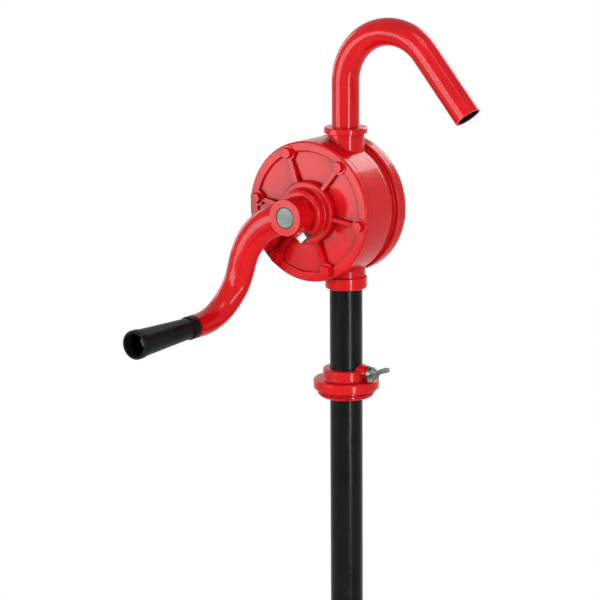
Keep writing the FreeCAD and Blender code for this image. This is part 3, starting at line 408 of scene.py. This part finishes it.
# ------------------------------------------------------------------------------- suction tube
# Two lengths of nominal one-inch steel pipe in satin black paint reach from the pump down into the drum.
# A threaded socket, painted with them, joins their ends.

TUBE_BLACK = (0.0020, 0.0025, 0.0024, 1)
TUBE_GREY = (0.0060, 0.0070, 0.0066, 1)
STREAK_SQUEEZE = (1.0, 1.0, 0.03)

# Drawn pipe shows through its paint as faint streaks along its length.
tube_paint, tree, shader = new_finish("satin black paint")
squeezed = add(tree, "ShaderNodeMapping", {"Vector": object_place(tree), "Scale": STREAK_SQUEEZE}).outputs[0]
streak = stretch(tree, noise(tree, squeezed, scale=900.0, detail=3.0, roughness=0.6), 0.35, 0.68)
coat = use(tree, uneven_coat, "Mask", {"Patch Scale": 40.0})
shade = sum_of(tree, coat, streak, 0.6)
black = tint(tree, stretch(tree, shade, 0.2, 1.4), TUBE_BLACK, TUBE_GREY)
tree.links.new(black, shader.inputs["Base Color"])
tree.links.new(stretch(tree, shade, 0.0, 1.6, to_low=0.16, to_high=0.30), shader.inputs["Roughness"])
shader.inputs["Specular IOR Level"].default_value = 0.09
grain = use(tree, cast_skin, "Height", {"Grain Scale": 420.0})
bump(tree, shader, sum_of(tree, streak, grain, 0.8), depth=0.00003)
for tube in ("suction_tube_upper", "suction_tube_lower", "tube_coupling"):
    dress_node(tube, tube_paint)

# ------------------------------------------------------------------------------- pump casing
# The barrel, the flange behind it and the inlet and outlet bosses are one iron casting in red enamel.
# Its chamber, its bores and its two end faces are machined, and the covers and the tubes hide those.

dress_node("pump_casing", enamel_on_casting)

# ------------------------------------------------------------------------------- rotor and vanes
# The rotor is a machined iron drum on the shaft. Its four slots carry vanes of cloth laminate, each
# pushed out by a bowed leaf spring of blued steel.

IRON_DARK = (0.20, 0.20, 0.205, 1)
IRON_BRIGHT = (0.33, 0.33, 0.34, 1)

cast_iron, tree, shader = new_finish("machined cast iron")
specks = use(tree, uneven_coat, "Mask", {"Patch Scale": 1400.0})
clouded(tree, shader, specks, (IRON_DARK, IRON_BRIGHT), (0.34, 0.52))
shader.inputs["Metallic"].default_value = 1.0
bump(tree, shader, use(tree, cast_skin, "Height", {"Grain Scale": 1800.0}), depth=0.00004)
dress_node("rotor", cast_iron)


def crossed_waves(tree, scale, distortion, first_way, second_way):
    """Two sets of threads that cross, as in cloth or braid; runs from 0 to 2."""
    place = object_place(tree)
    values = {"Vector": place, "Scale": scale, "Distortion": distortion}
    first = add(tree, "ShaderNodeTexWave", values, bands_direction=first_way).outputs["Fac"]
    second = add(tree, "ShaderNodeTexWave", values, bands_direction=second_way).outputs["Fac"]
    return sum_of(tree, first, second, 1.0)


LAMINATE_DARK = (0.085, 0.052, 0.028, 1)
LAMINATE_TAN = (0.19, 0.125, 0.068, 1)

laminate, tree, shader = new_finish("ground laminate")
cloth = crossed_waves(tree, scale=260.0, distortion=0.6, first_way="X", second_way="Y")
tan = tint(tree, stretch(tree, cloth, 0.4, 1.7), LAMINATE_DARK, LAMINATE_TAN)
tree.links.new(tan, shader.inputs["Base Color"])
tree.links.new(stretch(tree, cloth, 0.0, 2.0, to_low=0.42, to_high=0.6), shader.inputs["Roughness"])
bump(tree, shader, cloth, depth=0.00003)
for number in (1, 2, 3, 4):
    dress_node(f"vane_{number}", laminate)

spring_steel = plated(
    "blued spring steel", light=(0.26, 0.29, 0.38, 1), dark=(0.13, 0.15, 0.21, 1), gloss=0.22)
dress_node("vane_springs", spring_steel)

# ------------------------------------------------------------------------------- shaft and key
# One turned steel shaft runs from the rear bush to the crank and drives the rotor through a key. Its
# faced end shows in the crank's hub, with the fine rings that the lathe tool leaves.

RING_WANDER = 0.00012

turned_marks, inside, outside = shader_group(
    "turned marks", {"Axis Point": (0.0, 0.0, 0.0), "Pitch": 0.0004}, ["Height"])
off_point = vector_calc(turned_marks, "SUBTRACT", object_place(turned_marks), inside.outputs["Axis Point"])
across = vector_calc(turned_marks, "MULTIPLY", off_point, (1.0, 0.0, 1.0))
wander = noise(turned_marks, object_place(turned_marks), scale=300.0)
radius = sum_of(turned_marks, vector_calc(turned_marks, "LENGTH", across), wander, RING_WANDER)
cuts = calc(turned_marks, "DIVIDE", radius, inside.outputs["Pitch"])
rings = calc(turned_marks, "SINE", calc(turned_marks, "MULTIPLY", cuts, 2 * math.pi))
turned_marks.links.new(rings, outside.inputs["Height"])

shaft_low, shaft_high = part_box("shaft")
SHAFT_AXIS = ((shaft_low.x + shaft_high.x) / 2, 0.0, (shaft_low.z + shaft_high.z) / 2)
STEEL_DARK = (0.075, 0.092, 0.086, 1)
STEEL_BRIGHT = (0.14, 0.160, 0.152, 1)

bare_steel, tree, shader = new_finish("turned steel")
stain = use(tree, uneven_coat, "Mask", {"Patch Scale": 120.0})
clouded(tree, shader, stain, (STEEL_DARK, STEEL_BRIGHT), (0.58, 0.46))
shader.inputs["Metallic"].default_value = 0.9
rings = use(tree, turned_marks, "Height", {"Axis Point": SHAFT_AXIS, "Pitch": 0.0007})
bump(tree, shader, rings, depth=0.00002)
dress_node("shaft", bare_steel)
dress_node("rotor_key", bare_steel)

# ------------------------------------------------------------------------------- bushes
# A bush in each cover carries the shaft. Both are turned from finely speckled bronze and pressed into
# the covers' hubs.

BRONZE_DARK = (0.42, 0.27, 0.11, 1)
BRONZE_BRIGHT = (0.66, 0.45, 0.21, 1)

bronze, tree, shader = new_finish("bronze")
speckle = use(tree, uneven_coat, "Mask", {"Patch Scale": 2200.0})
clouded(tree, shader, speckle, (BRONZE_DARK, BRONZE_BRIGHT), (0.46, 0.32))
shader.inputs["Metallic"].default_value = 1.0
rings = use(tree, turned_marks, "Height", {"Axis Point": SHAFT_AXIS, "Pitch": 0.0006})
bump(tree, shader, rings, depth=0.00002)
dress_node("front_bush", bronze)
dress_node("rear_bush", bronze)

# ------------------------------------------------------------------------------- gaskets and covers
# A fibre gasket lies under each cover. The covers are dished iron castings with a rib and a lug at
# every bolt, a hub for the bush and, at the front, the stuffing box.

FIBRE_DARK = (0.075, 0.020, 0.018, 1)
FIBRE_BROWN = (0.15, 0.060, 0.050, 1)

gasket_sheet, tree, shader = new_finish("fibre gasket")
fibres = noise(tree, object_place(tree), scale=1900.0, detail=4.0, roughness=0.7)
brown = tint(tree, stretch(tree, fibres, 0.35, 0.65), FIBRE_DARK, FIBRE_BROWN)
tree.links.new(brown, shader.inputs["Base Color"])
tree.links.new(stretch(tree, fibres, 0.3, 0.7, to_low=0.7, to_high=0.9), shader.inputs["Roughness"])
bump(tree, shader, fibres, depth=0.00005)
for gasket in ("front_gasket", "rear_gasket"):
    dress_node(gasket, gasket_sheet)
for cover in ("front_cover", "rear_cover"):
    dress_node(cover, enamel_on_casting)

# ------------------------------------------------------------------------------- cover bolts
# Six hexagon steel bolts hold each cover to the casing. They are painted with the pump, and their heads
# have the usual turned chamfer and a thin washer face.

enamel_on_bolts = red_enamel("red enamel on bolts", grain_scale=900.0, grain_depth=0.00006, wear=0.50)

bolt_tree, size, result = geometry_tree("headed screws", {
    "Sides": "Int", "Across Flats": "Float", "Head Height": "Float", "Face Height": "Float",
    "Shank Diameter": "Float", "Shank Length": "Float", "Count": "Int", "Ring Radius": "Float",
    "First Angle": "Float", "Finish": "Material"})


def product(*terms):
    """Product of the bolt tree's sizes; a term is a socket or a number."""
    total = terms[0]
    for term in terms[1:]:
        total = calc(bolt_tree, "MULTIPLY", total, term)
    return total


def plus(first, second):
    return calc(bolt_tree, "ADD", first, second)


def minus(first, second):
    return calc(bolt_tree, "SUBTRACT", first, second)


def point(x=0.0, y=0.0, z=0.0):
    return add(bolt_tree, "ShaderNodeCombineXYZ", {"X": x, "Y": y, "Z": z}).outputs[0]


def round_bar(vertices, radius, length, middle):
    """A closed cylinder on the bolt's axis, its middle at this height."""
    sizes = {"Vertices": vertices, "Radius": radius, "Depth": length}
    bar = add(bolt_tree, "GeometryNodeMeshCylinder", sizes).outputs[0]
    lifted = {"Geometry": bar, "Translation": point(z=middle)}
    return add(bolt_tree, "GeometryNodeTransform", lifted).outputs[0]


# Radii of the head's top circle and of its washer face are shares of the width across flats.
TOP_CIRCLE = 0.475
WASHER_FACE = 0.485
CHAMFER_SLOPE = math.tan(math.radians(30))
POINTS_PER_SIDE = 8

# The head starts as a round disc with rings of points at half and at full radius. The inner ring becomes
# the top circle, the outer ring goes to the flats, and its upper points drop by the turned chamfer.
disc = add(bolt_tree, "GeometryNodeMeshCylinder", {
    "Vertices": product(size["Sides"], POINTS_PER_SIDE), "Side Segments": 1, "Fill Segments": 2,
    "Radius": 1.0, "Depth": 2.0}, fill_type="TRIANGLE_FAN").outputs[0]
position = bolt_tree.nodes.new("GeometryNodeInputPosition").outputs[0]
x, y, z = add(bolt_tree, "ShaderNodeSeparateXYZ", {0: position}).outputs
from_axis = calc(bolt_tree, "SQRT", plus(product(x, x), product(y, y)))
is_outer = calc(bolt_tree, "GREATER_THAN", from_axis, 0.75)
is_ring = calc(bolt_tree, "GREATER_THAN", from_axis, 0.25)
is_top = calc(bolt_tree, "GREATER_THAN", z, 0.0)
around = calc(bolt_tree, "ARCTAN2", y, x)
side_angle = calc(bolt_tree, "DIVIDE", 2 * math.pi, size["Sides"])
off_flat = minus(calc(bolt_tree, "FLOORED_MODULO", around, side_angle), product(side_angle, 0.5))
half_width = product(size["Across Flats"], 0.5)
flat_radius = calc(bolt_tree, "DIVIDE", half_width, calc(bolt_tree, "COSINE", off_flat))
top_radius = product(size["Across Flats"], TOP_CIRCLE)
past_top = product(is_outer, minus(flat_radius, top_radius))
reach = product(plus(top_radius, past_top), is_ring)
top = minus(size["Head Height"], product(past_top, CHAMFER_SLOPE))
height = plus(size["Face Height"], product(is_top, top))
corner = point(product(reach, calc(bolt_tree, "COSINE", around)),
               product(reach, calc(bolt_tree, "SINE", around)), height)
head = add(bolt_tree, "GeometryNodeSetPosition", {"Geometry": disc, "Position": corner}).outputs[0]
washer_face = round_bar(
    vertices=48, radius=product(size["Across Flats"], WASHER_FACE), length=size["Face Height"],
    middle=product(size["Face Height"], 0.5))
shank = round_bar(
    vertices=32, radius=product(size["Shank Diameter"], 0.5), length=size["Shank Length"],
    middle=product(size["Shank Length"], -0.5))
bolt = bolt_tree.nodes.new("GeometryNodeJoinGeometry")
for shape in (head, washer_face, shank):
    bolt_tree.links.new(shape, bolt.inputs[0])

# The bolts stand in a ring, each turned to face its centre.
number = bolt_tree.nodes.new("GeometryNodeInputIndex").outputs[0]
step = calc(bolt_tree, "DIVIDE", 2 * math.pi, size["Count"])
angle = plus(product(number, step), size["First Angle"])
seat = point(product(calc(bolt_tree, "COSINE", angle), size["Ring Radius"]),
             product(calc(bolt_tree, "SINE", angle), size["Ring Radius"]))
ring = add(bolt_tree, "GeometryNodePoints", {"Count": size["Count"], "Position": seat}).outputs[0]
placed = add(bolt_tree, "GeometryNodeInstanceOnPoints", {
    "Points": ring, "Instance": bolt.outputs[0], "Rotation": point(z=angle)}).outputs[0]
hand_out(bolt_tree, placed, size["Finish"], result)

BOLT_COUNT = 6
BOLT_WIDTH = 0.010
BOLT_SHANK = 0.006
BOLT_RING = 0.063
BOLT_ANGLE = math.radians(112)
BOLT_HEAD = 0.004
BOLT_FACE = 0.0005
LIES_DOWN = Matrix.Rotation(math.radians(90), 4, "X")
HALF_TURN = Matrix.Rotation(math.pi, 4, "Z")


def cover_bolts(name, node, side):
    """A ring of bolts on the front (side -1) or the rear (side 1) cover."""
    low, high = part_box(node)
    head_top = low.y if side < 0 else high.y
    seat = abs(head_top) - BOLT_HEAD
    bolts = grown(name, bolt_tree, {
        "Sides": 6, "Across Flats": BOLT_WIDTH, "Head Height": BOLT_HEAD - BOLT_FACE,
        "Face Height": BOLT_FACE, "Shank Diameter": BOLT_SHANK, "Shank Length": high.y - low.y - BOLT_HEAD,
        "Count": BOLT_COUNT, "Ring Radius": BOLT_RING,
        "First Angle": BOLT_ANGLE if side < 0 else math.pi - BOLT_ANGLE, "Finish": enamel_on_bolts})
    turn = LIES_DOWN if side < 0 else HALF_TURN @ LIES_DOWN
    bolts.data.transform(Matrix.Translation((SHAFT_AXIS[0], side * seat, SHAFT_AXIS[2])) @ turn)
    soften_shading(bolts, sharp_degrees=22)
    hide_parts(node)
    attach(bolts, "pump")


cover_bolts("front_bolts", "front_cover_bolts", -1)
cover_bolts("rear_bolts", "rear_cover_bolts", 1)

# ------------------------------------------------------------------------------- packing and gland nut
# Rings of greased cotton braid seal the shaft where it leaves the pump. A thin hexagon nut of steel,
# painted with the cover, screws into the stuffing box and presses them.

BRAID_DARK = (0.17, 0.15, 0.11, 1)
BRAID_PALE = (0.46, 0.43, 0.36, 1)

braid, tree, shader = new_finish("greased braid")
strands = crossed_waves(tree, scale=420.0, distortion=1.0, first_way="DIAGONAL", second_way="X")
pale = tint(tree, stretch(tree, strands, 0.3, 1.7), BRAID_DARK, BRAID_PALE)
tree.links.new(pale, shader.inputs["Base Color"])
tree.links.new(stretch(tree, strands, 0.0, 2.0, to_low=0.5, to_high=0.75), shader.inputs["Roughness"])
bump(tree, shader, strands, depth=0.0001)
dress_node("packing_rings", braid)
dress_node("gland_nut", enamel_on_bolts)

# ------------------------------------------------------------------------------- crank
# The crank is one iron casting in red enamel: hub, curved arm and boss. A square-headed set screw, zinc
# plated and still bright, holds its hub on the shaft.

dress_node("crank_arm", enamel_on_casting)
zinc = plated("dull zinc", light=(0.30, 0.315, 0.30, 1), dark=(0.14, 0.15, 0.143, 1), gloss=0.30)
dress_node("crank_set_screw", zinc)

# ------------------------------------------------------------------------------- grip
# A tapered grip, moulded in black plastic, spins on a zinc-plated shoulder screw. The screw's head sits
# in the grip's open end, and a washer keeps the grip off the arm.

GRIP_BLACK = (0.0020, 0.0026, 0.0024, 1)
GRIP_GREY = (0.0055, 0.0066, 0.0060, 1)

grip_plastic, tree, shader = new_finish("moulded black plastic")
handled = use(tree, uneven_coat, "Mask", {"Patch Scale": 55.0})
clouded(tree, shader, handled, (GRIP_BLACK, GRIP_GREY), (0.30, 0.44))
shader.inputs["Specular IOR Level"].default_value = 0.06
bump(tree, shader, use(tree, cast_skin, "Height", {"Grain Scale": 1900.0}), depth=0.00005)
dress_node("grip", grip_plastic)
dress_node("grip_washer", zinc)
dress_node("grip_spindle", zinc)

# ------------------------------------------------------------------------------- spout
# The spout is a bent steel tube in red enamel. It stands in the outlet boss, where it can turn, and
# seals against a rubber ring.

# Bore shade: a mask that is 1 inside a bore near its mouth, where it paints the shade that falls inside the
# tube.
LIP_STARTS = 0.0002
LIP_ENDS = 0.0009

painted_bore_shade, inside, outside = shader_group(
    "painted bore shade", {"Mouth": (0.0, 0.0, 0.0), "Direction": (0.0, 0.0, 1.0), "Radius": 0.01, "Depth": 0.05},
    ["Mask"])
from_mouth = vector_calc(painted_bore_shade, "SUBTRACT", object_place(painted_bore_shade), inside.outputs["Mouth"])
outwards = vector_calc(painted_bore_shade, "DOT_PRODUCT", from_mouth, inside.outputs["Direction"])
along_axis = vector_calc(painted_bore_shade, "MULTIPLY", inside.outputs["Direction"], outwards)
off_axis = vector_calc(painted_bore_shade, "LENGTH", vector_calc(painted_bore_shade, "SUBTRACT", from_mouth, along_axis))
depth = calc(painted_bore_shade, "MULTIPLY", outwards, -1.0)
within = calc(painted_bore_shade, "LESS_THAN", off_axis, inside.outputs["Radius"])
near_end = calc(painted_bore_shade, "LESS_THAN", depth, inside.outputs["Depth"])
past_lip = stretch(painted_bore_shade, depth, LIP_STARTS, LIP_ENDS)
in_bore = calc(painted_bore_shade, "MULTIPLY", calc(painted_bore_shade, "MULTIPLY", within, near_end), past_lip)
painted_bore_shade.links.new(in_bore, outside.inputs["Mask"])

MOUTH = mount("spout_end")
SPOUT_BORE = 0.0122
BORE_MARGIN = 0.0002
BORE_DEPTH = 0.9 * MOUTH["dims"]["length_mm"] / 1000
BORE_SHADE_BLACK = (0.004, 0.004, 0.004, 1)

enamel_on_tube = red_enamel("red enamel on tube", grain_scale=55.0, grain_depth=0.00003, wear=0.46)
tree = enamel_on_tube.node_tree
shader = tree.nodes["Principled BSDF"]
bore = use(tree, painted_bore_shade, "Mask", {
    "Mouth": tuple(MOUTH["pos_m"]), "Direction": tuple(MOUTH["axis"]),
    "Radius": SPOUT_BORE + BORE_MARGIN, "Depth": BORE_DEPTH})
enamel = shader.inputs["Base Color"].links[0].from_socket
# Painted shade: the spout's bore turns near black just inside its mouth, and rougher.
tree.links.new(tint(tree, bore, enamel, BORE_SHADE_BLACK), shader.inputs["Base Color"])
gloss = shader.inputs["Roughness"].links[0].from_socket
tree.links.new(sum_of(tree, gloss, bore, 0.5), shader.inputs["Roughness"])
dress_node("spout_tube", enamel_on_tube)
dress_node("spout_seal", seal_rubber)

# ------------------------------------------------------------------------------- studio
# A pale round floor lies under the pump and fades out towards its rim. Soft lamps stand on all sides,
# and a long lens looks at the head and the adapter from the front right.

AZIMUTH = math.radians(34.95)
ELEVATION = math.radians(12.51)
ROLL = math.radians(-0.4)
DISTANCE = 2.509
AIM = Vector((-0.03876, -0.02709, 0.09303))
LENS = 146.67
SENSOR = 36.0


def bearing(azimuth, elevation):
    """Unit vector from the pump towards a place round it; azimuth 0 is in front, 90 on the spout's side."""
    return Vector((math.sin(azimuth) * math.cos(elevation), -math.cos(azimuth) * math.cos(elevation),
                   math.sin(elevation)))


camera = bpy.data.objects.new("camera", bpy.data.cameras.new("camera"))
bpy.context.scene.collection.objects.link(camera)
camera.data.sensor_width = SENSOR
camera.data.lens = LENS
camera.data.clip_end = 100.0
away = bearing(AZIMUTH, ELEVATION)
camera.location = AIM + away * DISTANCE
camera.rotation_euler = ((-away).to_track_quat("-Z", "Y") @ Quaternion((0, 0, 1), ROLL)).to_euler()
bpy.context.scene.camera = camera

LAMP_AIM = Vector((0, 0, 0.12))


def softbox(name, azimuth, elevation, distance, width, height, glow):
    """A rectangular lamp aimed at the foot of the pump's head; its power follows its glow and its area."""
    lamp = bpy.data.lights.new(name, "AREA")
    lamp.shape = "RECTANGLE"
    lamp.size = width
    lamp.size_y = height
    lamp.energy = glow * math.pi * width * height
    box = bpy.data.objects.new(name, lamp)
    towards = bearing(math.radians(azimuth), math.radians(elevation))
    box.location = LAMP_AIM + towards * distance
    box.rotation_euler = (-towards).to_track_quat("-Z", "Y").to_euler()
    bpy.context.scene.collection.objects.link(box)


softbox("left_box", azimuth=-35, elevation=0.8, distance=2.6, width=1.70, height=0.95, glow=7.9)
softbox("front_box", azimuth=-12, elevation=13, distance=2.6, width=0.70, height=0.55, glow=12.0)
softbox("right_strip", azimuth=61, elevation=-1, distance=2.4, width=0.20, height=1.85, glow=43.0)
softbox("top_box", azimuth=45, elevation=62, distance=2.4, width=1.0, height=1.0, glow=4.8)
softbox("rear_box", azimuth=175, elevation=25, distance=2.8, width=1.3, height=1.3, glow=8.2)
softbox("side_box", azimuth=262, elevation=14, distance=2.8, width=0.8, height=1.5, glow=4.6)

# The surroundings look white to the camera and in reflections, and give the pump a little fill light.
WHITE = (1, 1, 1, 1)
FILL_LIGHT = 0.13

world = bpy.data.worlds.new("studio")
bpy.context.scene.world = world
world.use_nodes = True
tree = world.node_tree
tree.nodes.clear()
path = tree.nodes.new("ShaderNodeLightPath").outputs
seen = calc(tree, "MAXIMUM", path["Is Camera Ray"], path["Is Glossy Ray"])
seen = calc(tree, "MAXIMUM", seen, path["Is Transmission Ray"])
fill = add(tree, "ShaderNodeBackground", {"Color": WHITE, "Strength": FILL_LIGHT}).outputs[0]
backdrop = add(tree, "ShaderNodeBackground", {"Color": WHITE, "Strength": 1.0}).outputs[0]
mixed = add(tree, "ShaderNodeMixShader", {0: seen, 1: fill, 2: backdrop}).outputs[0]
tree.links.new(mixed, add(tree, "ShaderNodeOutputWorld").inputs["Surface"])

FLOOR_RADIUS = 1.7
FLOOR_GAP = 0.0002
FADE_STARTS = 0.45 * FLOOR_RADIUS
FADE_ENDS = 0.98 * FLOOR_RADIUS
FLOOR_GREY = (0.86, 0.86, 0.86, 1)

circle = bmesh.new()
bmesh.ops.create_circle(circle, cap_ends=True, segments=96, radius=FLOOR_RADIUS)
floor_mesh = bpy.data.meshes.new("floor")
circle.to_mesh(floor_mesh)
circle.free()
floor_mesh.transform(Matrix.Translation((0, 0, cad_box[0][2] - FLOOR_GAP)))
floor = bpy.data.objects.new("floor", floor_mesh)
bpy.context.scene.collection.objects.link(floor)
floor_finish, tree, shader = new_finish("pale floor")
shader.inputs["Base Color"].default_value = FLOOR_GREY
shader.inputs["Roughness"].default_value = 0.9
level_place = vector_calc(tree, "MULTIPLY", object_place(tree), (1.0, 1.0, 0.0))
rim = stretch(tree, vector_calc(tree, "LENGTH", level_place), FADE_STARTS, FADE_ENDS)
clear = add(tree, "ShaderNodeBsdfTransparent").outputs[0]
faded = add(tree, "ShaderNodeMixShader", {0: rim, 1: shader.outputs[0], 2: clear}).outputs[0]
tree.links.new(faded, tree.nodes["Material Output"].inputs["Surface"])
floor_mesh.materials.append(floor_finish)

bpy.context.scene.view_settings.view_transform = "Standard"
